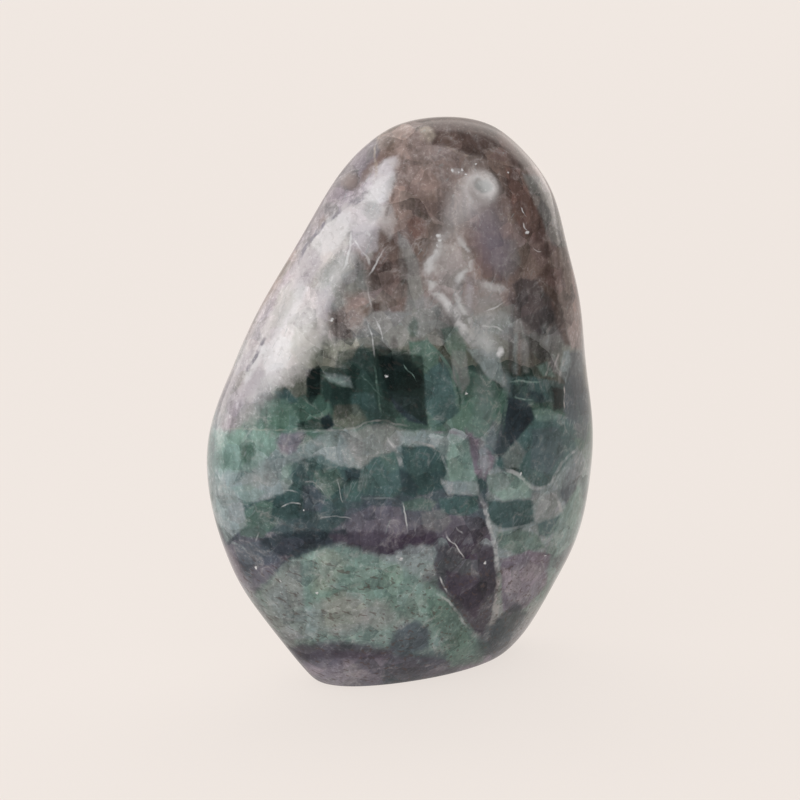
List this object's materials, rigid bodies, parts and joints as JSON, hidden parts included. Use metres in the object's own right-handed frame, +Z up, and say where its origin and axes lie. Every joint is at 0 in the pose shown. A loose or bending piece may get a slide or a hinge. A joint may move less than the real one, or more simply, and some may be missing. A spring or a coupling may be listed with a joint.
{
  "type": "polished fluorite freeform",
  "caption": "Polished lump of banded fluorite ground to a leaning rounded egg, with a flat sawn base that it stands on for display.",
  "frame": {"origin": "on the plane of the sawn base, under the middle of the stone's bounding box", "axes": "+Z up along the stone's height, which is its longest extent; the front looks along -Y, and +Y runs through the stone's thickness, which is its shortest extent"},
  "size_m": [0.0886, 0.063, 0.1306],
  "materials": {
    "fluorite": "polished to a high gloss; translucent banded fluorite, smoky mauve at the crown, dark green and grey-green below, with a purple pocket and pale healed fractures"
  },
  "bodies": {
    "root": {"fluorite_stone": "fluorite"}
  },
  "joints": []
}
